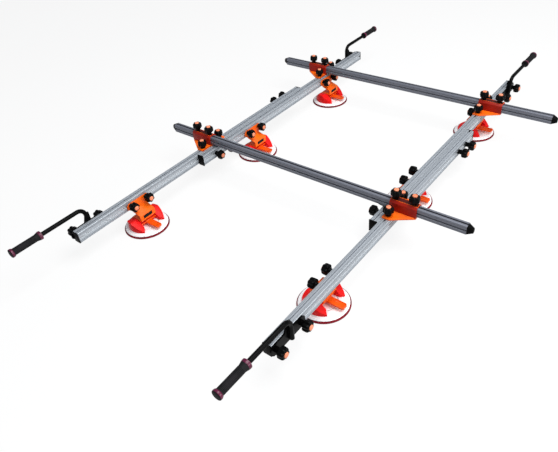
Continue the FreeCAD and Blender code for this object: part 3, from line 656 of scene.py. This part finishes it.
def softened(node, width, finishes):
    """A copy of a CAD node with its corners rounded, as casting, bending and coating leave them."""
    bm = bmesh.new()
    bm.from_mesh(nodes[node].data)
    bmesh.ops.remove_doubles(bm, verts=bm.verts, dist=MERGE)
    bmesh.ops.dissolve_limit(bm, angle_limit=math.radians(FLAT_ANGLE), verts=bm.verts, edges=bm.edges)
    for layer in list(bm.loops.layers.uv):
        bm.loops.layers.uv.remove(layer)
    for face in bm.faces:
        face.material_index = 0
    if node.startswith("saddle_"):
        sink_saddle_top(bm)
    mesh = settle(bm, node + "_rounded", recalculate=False)
    if "custom_normal" in mesh.attributes:
        mesh.attributes.remove(mesh.attributes["custom_normal"])
    blank = as_object(node + "_blank", painted(mesh, *finishes))
    bevel = blank.modifiers.new("rounding", "BEVEL")
    bevel.width = width
    bevel.segments = BEVEL_STEPS
    bevel.limit_method = "ANGLE"
    bevel.angle_limit = math.radians(BEVEL_ANGLE)
    rounded = smooth(evaluated_mesh(blank), ROUNDED_SHARP)
    drop(blank)
    if node.startswith("cup_bracket_"):
        # The bracket takes its black block of painted shade in the window.
        rounded = joined(node + "_rounded", [rounded, window_shade_block(node)])
    dress(node + "_rounded", rounded, node)


rounded_count = 0
for node in list(nodes):
    for family, (radius, finishes) in ROUNDING.items():
        if node.startswith(family):
            softened(node, radius, finishes)
            rounded_count += 1
print("rounded copies:", rounded_count)

# %% [markdown]
# Knobs, grip ribs and weld beads repeat all over the frame, each on its own seat with its own direction.
# A small geometry-node tree does that: it reads seats as points with an "axis" attribute, puts a copy of a
# piece on each, turns it by a seeded amount about its axis, makes the copies real and sets their finish.
# Copies made in a loop would do too, but one tree with named inputs serves all three.

# %% A node tree that puts copies on seats
SEAT_INPUTS = {"Geometry": "Geometry", "Piece": "Object", "Finish": "Material", "Most turn": "Float",
               "Seed": "Int"}


def build_seat_tree():
    tree = bpy.data.node_groups.new("copies_on_seats", "GeometryNodeTree")
    for label, kind in SEAT_INPUTS.items():
        tree.interface.new_socket(label, in_out="INPUT", socket_type="NodeSocket" + kind)
    tree.interface.new_socket("Geometry", in_out="OUTPUT", socket_type="NodeSocketGeometry")
    make = tree.nodes.new
    link = tree.links.new
    start, end = make("NodeGroupInput"), make("NodeGroupOutput")
    axis = make("GeometryNodeInputNamedAttribute")
    axis.data_type = "FLOAT_VECTOR"
    axis.inputs["Name"].default_value = "axis"
    align = make("FunctionNodeAlignRotationToVector")
    align.axis = "Z"
    link(axis.outputs["Attribute"], align.inputs["Vector"])
    spin = make("FunctionNodeRandomValue")
    spin.data_type = "FLOAT"
    low, high = [s for s in spin.inputs if s.type == "VALUE" and s.name in ("Min", "Max")]
    low.default_value = 0.0
    link(start.outputs["Most turn"], high)
    link(start.outputs["Seed"], spin.inputs["Seed"])
    about_z = make("ShaderNodeCombineXYZ")
    link([s for s in spin.outputs if s.type == "VALUE"][0], about_z.inputs["Z"])
    own_turn = make("FunctionNodeEulerToRotation")
    link(about_z.outputs["Vector"], own_turn.inputs["Euler"])
    rotate = make("FunctionNodeRotateRotation")
    rotate.rotation_space = "LOCAL"
    link(align.outputs["Rotation"], rotate.inputs["Rotation"])
    link(own_turn.outputs["Rotation"], rotate.inputs["Rotate By"])
    piece = make("GeometryNodeObjectInfo")
    link(start.outputs["Piece"], piece.inputs["Object"])
    copies = make("GeometryNodeInstanceOnPoints")
    link(start.outputs["Geometry"], copies.inputs["Points"])
    link(piece.outputs["Geometry"], copies.inputs["Instance"])
    link(rotate.outputs["Rotation"], copies.inputs["Rotation"])
    real = make("GeometryNodeRealizeInstances")
    link(copies.outputs["Instances"], real.inputs["Geometry"])
    coat = make("GeometryNodeSetMaterial")
    link(real.outputs["Geometry"], coat.inputs["Geometry"])
    link(start.outputs["Finish"], coat.inputs["Material"])
    link(coat.outputs["Geometry"], end.inputs["Geometry"])
    return tree


seat_tree = build_seat_tree()
socket_of = {item.name: item.identifier for item in seat_tree.interface.items_tree if item.in_out == "INPUT"}


def copies_on(seats, piece, finish, most_turn=0.0, seed=1):
    """A plain mesh of copies of a piece, one on each (point, axis) seat."""
    cloud = bpy.data.meshes.new("seats")
    cloud.from_pydata([tuple(point) for point, _ in seats], [], [])
    axis = cloud.attributes.new("axis", "FLOAT_VECTOR", "POINT")
    for i, (_, direction) in enumerate(seats):
        axis.data[i].vector = direction
    holder = as_object("seats", cloud)
    modifier = holder.modifiers.new("copies", "NODES")
    modifier.node_group = seat_tree
    modifier[socket_of["Piece"]] = piece
    modifier[socket_of["Finish"]] = finish
    modifier[socket_of["Most turn"]] = most_turn
    modifier[socket_of["Seed"]] = seed
    mesh = evaluated_mesh(holder)
    drop(holder)
    return mesh


print("seat tree inputs:", list(socket_of))

# %% [markdown]
# The hand knob is a moulded head with six soft lobes, a round pale insert in its top, a hub and a T-bolt.
# The head is a stack of rings whose radius follows a cosine of the angle: round lobes, narrow valleys.
# It is made once and seated 44 times.
# Overlap knobs stand on the bare rail, so their hub is longer, and their bolt reaches the next rail.

# %% The knob's pieces
SEAT_LIFT = 0.0064
HUB_TOP = 0.0194
HEAD_TOP = 0.0454
LOBES = 6
KNOB_STEPS = 72
VALLEY_DEPTH, VALLEY_POWER = 0.0042, 1.6
INSERT_STEPS = 40
LIP_GRIP = 0.0034
SHANK_HALF, T_HALF, T_THICKNESS, BOLT_EDGE = 0.0038, 0.0068, 0.005, 0.0004
RAIL_SEAM = 0.0006


def knob_head(hub_start):
    """Lobed head and hub, up the Z axis, from rings of (height, radius, share of the lobes)."""
    rings = [(hub_start, 0.0098, 0), (hub_start + 0.0008, 0.0108, 0), (HUB_TOP - 0.0030, 0.0104, 0),
             (HUB_TOP - 0.0004, 0.0116, 0), (HUB_TOP, 0.0160, 0.4), (HUB_TOP + 0.0008, 0.0188, 0.8),
             (HUB_TOP + 0.0026, 0.0210, 1), (HUB_TOP + 0.0060, 0.0219, 1), (HEAD_TOP - 0.0080, 0.0216, 1),
             (HEAD_TOP - 0.0036, 0.0204, 1), (HEAD_TOP - 0.0012, 0.0184, 0.8), (HEAD_TOP, 0.0156, 0.4),
             (HEAD_TOP, 0.0106, 0), (HEAD_TOP - 0.0012, 0.0102, 0)]
    bm = bmesh.new()
    rows = []
    for height, radius, lobe in rings:
        row = []
        for angle in ring(KNOB_STEPS):
            valley = (0.5 - 0.5 * math.cos(LOBES * angle)) ** VALLEY_POWER
            reach = radius - VALLEY_DEPTH * lobe * valley
            row.append(bm.verts.new((reach * math.cos(angle), reach * math.sin(angle), height)))
        rows.append(row)
    capped(bm, rows)
    return as_object("knob_head", settle(bm, "knob_head"))


def knob_insert():
    """Round pale insert with a soft dome."""
    dome = [(0, -0.0010), (0.0100, -0.0010), (0.0100, 0.0016), (0.0096, 0.0028), (0.0084, 0.0035),
            (0.0050, 0.0039), (0, 0.0040)]
    profile = [(radius, HEAD_TOP + rise, 0) for radius, rise in dome]
    return as_object("knob_insert", settle(lathe(profile, INSERT_STEPS), "knob_insert"))


def t_bolt(slot_face):
    """Square shank and T-head that hangs behind the slot's lip."""
    grip = slot_face - LIP_GRIP
    bm = bmesh.new()
    for half, low, high in ((SHANK_HALF, grip, HUB_TOP), (T_HALF, grip - T_THICKNESS, grip)):
        for vert in bmesh.ops.create_cube(bm, size=1.0)["verts"]:
            vert.co = Vector((vert.co.x * 2 * half, vert.co.y * 2 * half, low if vert.co.z < 0 else high))
    bmesh.ops.bevel(bm, geom=list(bm.edges), offset=BOLT_EDGE, segments=1, affect="EDGES")
    return as_object("t_bolt", settle(bm, "t_bolt"))


head, splice_head, insert = knob_head(SEAT_LIFT), knob_head(0.0), knob_insert()
bolt, splice_bolt = t_bolt(0.0), t_bolt(-(RAIL_WIDTH + RAIL_SEAM))
print("knob head faces:", len(head.data.polygons))

# %% [markdown]
# Seats are read from the CAD nodes' boxes, so the knobs follow the frame if its sizes change.
# On each saddle two knobs stand on the rail in front of and behind the bar, and two on top of the sleeve.
# Two more lock the overlap of the rails, on the side that faces away from the neighbour.

# %% Knobs of the saddles and of the telescopic overlap
SADDLE_KNOB_REACH = 0.057
SADDLE_OUTER_KNOB = 0.078
SPLICE_INSET = 0.085
SPLICE_SPACING = 0.075
SPLICE_SEED = 40


def knob_set(seats, knob, shank, seed):
    """Heads, inserts and bolts of the knobs on these seats."""
    return [copies_on(seats, knob, black_plastic, 2 * math.pi, seed), copies_on(seats, insert, peach),
            copies_on(seats, shank, zinc)]


def add_knobs(node, seats, seed, splice_seats=()):
    """All knobs of one node, on their seats."""
    meshes = knob_set(seats, head, bolt, seed)
    if splice_seats:
        meshes += knob_set(splice_seats, splice_head, splice_bolt, seed + SPLICE_SEED)
    dress(node + "_moulded", joined(node + "_moulded", meshes), node)


for number, (side, end) in enumerate((s, e) for s in SIDES for e in ENDS):
    low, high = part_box("rail_%s_%s" % (side, end))
    centre = (low + high) / 2
    bar_low, bar_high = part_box("cross_bar_" + end)
    bar_y = (bar_low.y + bar_high.y) / 2
    out = SIDES[side]
    seats = [((centre.x, bar_y - SADDLE_KNOB_REACH, high.z), Z_UP),
             ((centre.x, bar_y + SADDLE_KNOB_REACH, high.z), Z_UP),
             ((centre.x, bar_y, bar_high.z), Z_UP),
             ((centre.x + SADDLE_OUTER_KNOB * out, bar_y, bar_high.z), Z_UP)]
    free = out if end == "near" else -out
    inner_end = high.y if end == "near" else low.y
    face_x = centre.x + free * RAIL_WIDTH / 2
    splice = [((face_x, inner_end + ENDS[end] * reach, centre.z), Vector((free, 0, 0)))
              for reach in (SPLICE_INSET, SPLICE_INSET + SPLICE_SPACING)]
    add_knobs("clamp_knobs_%s_%s" % (side, end), seats, number, splice)
print("saddle and overlap knobs placed")

# %% [markdown]
# Two knobs hold each cup's bracket on the rail's inner side, and two each handle's plate on its outer side.
# Their bolts lie in the side slots, so the seats are at half the rail's height and point away from the rail.
# The same knob pieces serve here; once the last knob is placed, they are taken out of the scene.

# %% Knobs of the cups and handles
CUP_KNOB_REACH = 0.042
HANDLE_PLATE_BACK = 0.084
HANDLE_KNOB_BACK = 0.061
HANDLE_KNOB_FRONT = 0.070
CUP_SEED, HANDLE_SEED = 20, 30


def handle_rise(side, end):
    """Y where a handle's rod rises, from the inner end of its plate."""
    low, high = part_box("handle_frame_%s_%s" % (side, end))
    return high.y - HANDLE_PLATE_BACK if end == "near" else low.y + HANDLE_PLATE_BACK


for side, out in SIDES.items():
    for place, end in CUP_RAILS.items():
        rail = middle("rail_%s_%s" % (side, end))
        cup_y = middle("cup_pad_%s_%s" % (side, place)).y
        face_x = rail.x - out * RAIL_WIDTH / 2
        seats = [((face_x, cup_y + way * CUP_KNOB_REACH, rail.z), Vector((-out, 0, 0))) for way in (-1, 1)]
        add_knobs("cup_knobs_%s_%s" % (side, place), seats, CUP_SEED + len(place) + out)
    for end, way in ENDS.items():
        rail = middle("rail_%s_%s" % (side, end))
        rise = handle_rise(side, end)
        seats = [((rail.x + out * RAIL_WIDTH / 2, rise + way * along, rail.z), Vector((out, 0, 0)))
                 for along in (-HANDLE_KNOB_BACK, HANDLE_KNOB_FRONT)]
        add_knobs("handle_knobs_%s_%s" % (side, end), seats, HANDLE_SEED + way + 2 * out)
drop(head, splice_head, insert, bolt, splice_bolt)
print("cup and handle knobs placed")

# %% [markdown]
# Each suction pad is a white dish with a stepped top and a dark red rubber lip that seals on the glass.
# It is turned from one profile, and each row of it carries the finish of the dish, the lip or the groove,
# whose grey is painted shade.
# The underside is hollow and has two sealing ridges.

# %% Suction pads
DISH, LIP, GROOVE = 0, 1, 2
PAD_STEPS = 96
PAD = [(0, 0.0160, DISH), (0.0500, 0.0160, DISH), (0.0512, 0.0150, GROOVE), (0.0530, 0.0150, GROOVE),
       (0.0542, 0.0160, DISH), (0.0815, 0.0159, DISH), (0.0850, 0.0148, DISH), (0.0910, 0.0126, DISH),
       (0.0952, 0.0106, DISH), (0.0966, 0.0088, LIP), (0.0970, 0.0066, LIP), (0.1000, 0.0054, LIP),
       (0.1016, 0.0036, LIP), (0.1016, 0.0010, LIP), (0.1008, 0.0, LIP), (0.0916, 0.0, LIP),
       (0.0866, 0.0046, LIP), (0.0790, 0.0050, LIP), (0.0780, 0.0030, LIP), (0.0760, 0.0030, LIP),
       (0.0750, 0.0050, LIP), (0.0520, 0.0050, LIP), (0.0510, 0.0030, LIP), (0.0490, 0.0030, LIP),
       (0.0480, 0.0050, LIP), (0, 0.0050, LIP)]
for side in SIDES:
    for place in CUP_RAILS:
        node = "cup_pad_%s_%s" % (side, place)
        centre = middle(node)
        bm = lathe(PAD, PAD_STEPS, Matrix.Translation((centre.x, centre.y, 0)))
        dress(node + "_turned", painted(settle(bm, node + "_turned"), dish_white, lip_red, groove_painted_shade), node)
print("pads turned:", len(SIDES) * len(CUP_RAILS))

# %% [markdown]
# A handle is a flame-cut plate with an ear and a bent rod that is welded along the ear.
# The plate is an outline with a thickness and rounded edges.
# The rod is a circle swept along a path; a bevelled curve would do too, but rows of points stay plain mesh.

# %% Plate and rod of a handle
PLATE = 0.006
PLATE_EDGE = 0.0008
PLATE_OUTLINE = [(-0.070, -0.023), (0.082, -0.023), (0.096, -0.009), (0.096, 0.009), (0.082, 0.023),
                 (0.023, 0.023), (0.009, 0.063), (-0.009, 0.063), (-0.009, 0.023), (-0.070, 0.023),
                 (-0.084, 0.009), (-0.084, -0.009)]
ROD_RADIUS = 0.009
ROD_STEPS, BEND_STEPS = 28, 14
ROD_FOOT, ROD_WAIST = 0.012, 0.020
ROD_BEND = 0.034
ROD_LEVEL = 0.081
ROD_REACH = 0.330


def handle_plate(bm, place):
    """The plate's outline with its thickness; place maps (out, along, up) to the frame."""
    capped(bm, [[bm.verts.new(place((depth, along, up))) for along, up in PLATE_OUTLINE]
                for depth in (0.0, PLATE)])
    bmesh.ops.bevel(bm, geom=list(bm.edges), offset=PLATE_EDGE, segments=BEVEL_STEPS, affect="EDGES")


def rod_path():
    """Points of the rod's axis: up, round the bend and out, as (along, up)."""
    points = [(0.0, -ROD_FOOT), (0.0, ROD_WAIST), (0.0, ROD_LEVEL - ROD_BEND)]
    for i in range(1, BEND_STEPS + 1):
        angle = math.pi / 2 * i / BEND_STEPS
        points.append((ROD_BEND * (1 - math.cos(angle)), ROD_LEVEL - ROD_BEND * (1 - math.sin(angle))))
    points.append((ROD_REACH, ROD_LEVEL))
    return points


def swept_rod(bm, place):
    """A round rod along the path; place maps (out, along, up) to the frame."""
    path = rod_path()
    rows = []
    for i, (along, up) in enumerate(path):
        before = path[max(i - 1, 0)]
        after = path[min(i + 1, len(path) - 1)]
        run = Vector((after[0] - before[0], after[1] - before[1])).normalized()
        row = []
        for angle in ring(ROD_STEPS):
            side_shift = ROD_RADIUS * math.cos(angle)
            lift = ROD_RADIUS * math.sin(angle)
            row.append(bm.verts.new(place((side_shift, along - run.y * lift, up + run.x * lift))))
        rows.append(row)
    capped(bm, rows)


print("rod path points:", len(rod_path()))

# %% [markdown]
# Weld beads run up both sides of the rod's foot, where it meets the plate.
# A bead is a small stretched ball, copied along two rows of seats that lean a little, as hand-laid seams do.
# Plate, rod and beads are joined into one piece for each handle.

# %% Handle frames
CLEARANCE = 0.0004
ROD_EMBED = 0.0015
BEAD_RADIUS, BEAD_HALF_LENGTH = 0.0022, 0.0026
BEAD_ROWS = (-0.0062, 0.0062)
BEAD_COUNT, BEAD_START, BEAD_STEP = 22, -0.011, 0.0033
BEAD_LIFT, BEAD_LEAN = 0.0008, 0.25
BEAD_TURN, BEAD_SEED = 6.0, 5

bead_bm = bmesh.new()
bmesh.ops.create_icosphere(bead_bm, subdivisions=2, radius=1.0)
for vert in bead_bm.verts:
    vert.co = Vector((vert.co.x * BEAD_RADIUS, vert.co.y * BEAD_RADIUS, vert.co.z * BEAD_HALF_LENGTH))
bead = as_object("weld_bead", settle(bead_bm, "weld_bead"))
for side, out in SIDES.items():
    for end, way in ENDS.items():
        node = "handle_frame_%s_%s" % (side, end)
        rail = middle("rail_%s_%s" % (side, end))
        face_x = rail.x + out * RAIL_WIDTH / 2
        rise = handle_rise(side, end)

        def on_plate(spot):
            return (face_x + out * (CLEARANCE + spot[0]), rise + way * spot[1], rail.z + spot[2])

        def on_rod(spot):
            return on_plate((PLATE + ROD_RADIUS - ROD_EMBED + spot[0], spot[1], spot[2]))

        plate_bm, rod_bm = bmesh.new(), bmesh.new()
        handle_plate(plate_bm, on_plate)
        swept_rod(rod_bm, on_rod)
        lean = Vector((0, BEAD_LEAN * way, 1))
        beads = [(on_plate((PLATE + BEAD_LIFT, across, BEAD_START + BEAD_STEP * i)), lean)
                 for across in BEAD_ROWS for i in range(BEAD_COUNT)]
        welded = joined(node + "_welded", [painted(settle(plate_bm, "plate"), black_coat),
                                           painted(settle(rod_bm, "rod"), black_coat),
                                           copies_on(beads, bead, black_coat, BEAD_TURN, BEAD_SEED)])
        dress(node + "_welded", welded, node)
drop(bead)
print("handle frames welded:", len(SIDES) * len(ENDS))

# %% [markdown]
# The grip is a rubber sleeve with raised ribs between two flared maroon collars, and its end is rounded.
# The sleeve is turned from the rod's side outwards; the ribs are copies of one ring on seats along the rod.

# %% Grips
SLEEVE, COLLAR = 0, 1
GRIP_STEPS = 48
GRIP = [
    (0, 0.0, SLEEVE), (0.0170, 0.0, COLLAR), (0.0183, 0.0010, COLLAR), (0.0185, 0.0040, COLLAR),
    (0.0182, 0.0085, COLLAR), (0.0172, 0.0125, SLEEVE), (0.0158, 0.0175, SLEEVE), (0.0146, 0.0235, SLEEVE),
    (0.0138, 0.0300, SLEEVE), (0.0138, 0.1165, SLEEVE), (0.0150, 0.1190, SLEEVE), (0.0172, 0.1225, COLLAR),
    (0.0183, 0.1250, COLLAR), (0.0185, 0.1300, COLLAR), (0.0180, 0.1322, SLEEVE), (0.0166, 0.1336, SLEEVE),
    (0.0140, 0.1344, SLEEVE), (0.0100, 0.1349, SLEEVE), (0.0050, 0.1352, SLEEVE), (0, 0.1352, SLEEVE)]
RIB = [(0.0134, -0.0016, SLEEVE), (0.0143, -0.0013, SLEEVE), (0.0147, -0.0005, SLEEVE),
       (0.0147, 0.0005, SLEEVE), (0.0143, 0.0013, SLEEVE), (0.0134, 0.0016, SLEEVE),
       (0.0134, -0.0016, SLEEVE)]
RIB_STEPS, RIB_MERGE, RIB_SHARP = 36, 1e-6, 60
RIB_START, RIB_SPACING, RIB_COUNT = 0.0300, 0.0042, 21

rib_bm = lathe(RIB, RIB_STEPS)
bmesh.ops.remove_doubles(rib_bm, verts=rib_bm.verts, dist=RIB_MERGE)
rib = as_object("grip_rib", settle(rib_bm, "grip_rib", RIB_SHARP))
for side in SIDES:
    for end, way in ENDS.items():
        node = "handle_grip_%s_%s" % (side, end)
        low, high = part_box(node)
        centre = (low + high) / 2
        start = Vector((centre.x, high.y if way < 0 else low.y, centre.z))
        along = Matrix(((1, 0, 0), (0, 0, way), (0, -way, 0))).to_4x4()
        sleeve = settle(lathe(GRIP, GRIP_STEPS, Matrix.Translation(start) @ along), "sleeve")
        seats = [(start + Vector((0, way * (RIB_START + RIB_SPACING * i), 0)), Vector((0, way, 0)))
                 for i in range(RIB_COUNT)]
        ribbed = joined(node + "_ribbed", [painted(sleeve, grip_rubber, collar_rubber),
                                           copies_on(seats, rib, grip_rubber)])
        dress(node + "_ribbed", ribbed, node)
drop(rib)
print("grips ribbed:", len(SIDES) * len(ENDS))

# %% [markdown]
# The stage is a plain white floor.
# It shows white to the camera and in reflections, while its own grey lights the object at a plain level.
# It keeps a faint shadow, because part of its colour still comes from the light that falls on it.

# %% Floor
FLOOR_HALF, FLOOR_DROP = 30, 0.0005
FLOOR_ROUGHNESS = 0.9
FLOOR_LIT_TONE, FLOOR_SEEN_TONE = (0.42, 0.42, 0.43), (0.95, 0.95, 0.95)
FLOOR_GLOW_SHARE = 0.84


def blend_out(tree, share, first, second, output):
    """Blends two shaders by a share and links the blend to the output node."""
    node = tree.nodes.new("ShaderNodeMixShader")
    tree.links.new(share, node.inputs["Fac"])
    tree.links.new(first, node.inputs[1])
    tree.links.new(second, node.inputs[2])
    tree.links.new(node.outputs["Shader"], tree.nodes[output].inputs["Surface"])


floor_mesh = bpy.data.meshes.new("floor")
floor_mesh.from_pydata([(FLOOR_HALF * x, FLOOR_HALF * y, -FLOOR_DROP)
                        for x, y in ((-1, -1), (1, -1), (1, 1), (-1, 1))], [], [(0, 1, 2, 3)])
floor = as_object("floor", floor_mesh)
floor_finish = bpy.data.materials.new("floor_white")
floor_finish.use_nodes = True
tree = floor_finish.node_tree
shader = tree.nodes["Principled BSDF"]
shader.inputs["Roughness"].default_value = FLOOR_ROUGHNESS
glow = tree.nodes.new("ShaderNodeEmission")
glow.inputs["Strength"].default_value = 1.0
rays = tree.nodes.new("ShaderNodeLightPath").outputs
seen_tone = mix_colours(tree, rays["Is Camera Ray"], FLOOR_LIT_TONE, FLOOR_SEEN_TONE)
tree.links.new(seen_tone, shader.inputs["Base Color"])
seen = figure(tree, "MAXIMUM", rays["Is Camera Ray"], rays["Is Glossy Ray"])
glow_share = figure(tree, "MULTIPLY", seen, FLOOR_GLOW_SHARE)
blend_out(tree, glow_share, shader.outputs["BSDF"], glow.outputs["Emission"], "Material Output")
floor.data.materials.append(floor_finish)
print("floor: %d m across" % (2 * FLOOR_HALF))

# %% [markdown]
# The light is a soft cool sky all round, a softbox above and a wide one on the right.
# Behind the object the camera sees white instead of the sky, by a shader of its own, which adds no light.
# The colours are seen through the Standard view, which shows them about as they are written.

# %% Sky and lights
SKY_TINT, SKY_STRENGTH = (0.93, 0.96, 1.0), 0.42


def softbox(name, place, aim, width, height, watts):
    """A rectangular area light that points at a spot."""
    light = bpy.data.lights.new(name, "AREA")
    light.shape = "RECTANGLE"
    light.size = width
    light.size_y = height
    light.energy = watts
    lamp = bpy.data.objects.new(name, light)
    bpy.context.scene.collection.objects.link(lamp)
    lamp.location = place
    lamp.rotation_euler = (Vector(aim) - Vector(place)).to_track_quat("-Z", "Y").to_euler()


world = bpy.data.worlds.new("studio")
bpy.context.scene.world = world
world.use_nodes = True
tree = world.node_tree
sky = tree.nodes["Background"]
sky.inputs["Color"].default_value = (*SKY_TINT, 1)
sky.inputs["Strength"].default_value = SKY_STRENGTH
white = tree.nodes.new("ShaderNodeBackground")
white.inputs["Color"].default_value = (1, 1, 1, 1)
white.inputs["Strength"].default_value = 1.0
rays = tree.nodes.new("ShaderNodeLightPath").outputs
seen = figure(tree, "MAXIMUM", rays["Is Camera Ray"], rays["Is Transmission Ray"])
blend_out(tree, seen, sky.outputs["Background"], white.outputs["Background"], "World Output")
softbox("ceiling_light", place=(1.3, -0.1, 3.3), aim=(0, 0, 0), width=2.4, height=2.4, watts=118)
softbox("right_light", place=(6.5, 0.6, 2.0), aim=(0, 0, 0.1), width=5.0, height=2.5, watts=210)
bpy.context.scene.view_settings.view_transform = "Standard"
print("lights:", len(bpy.data.lights))
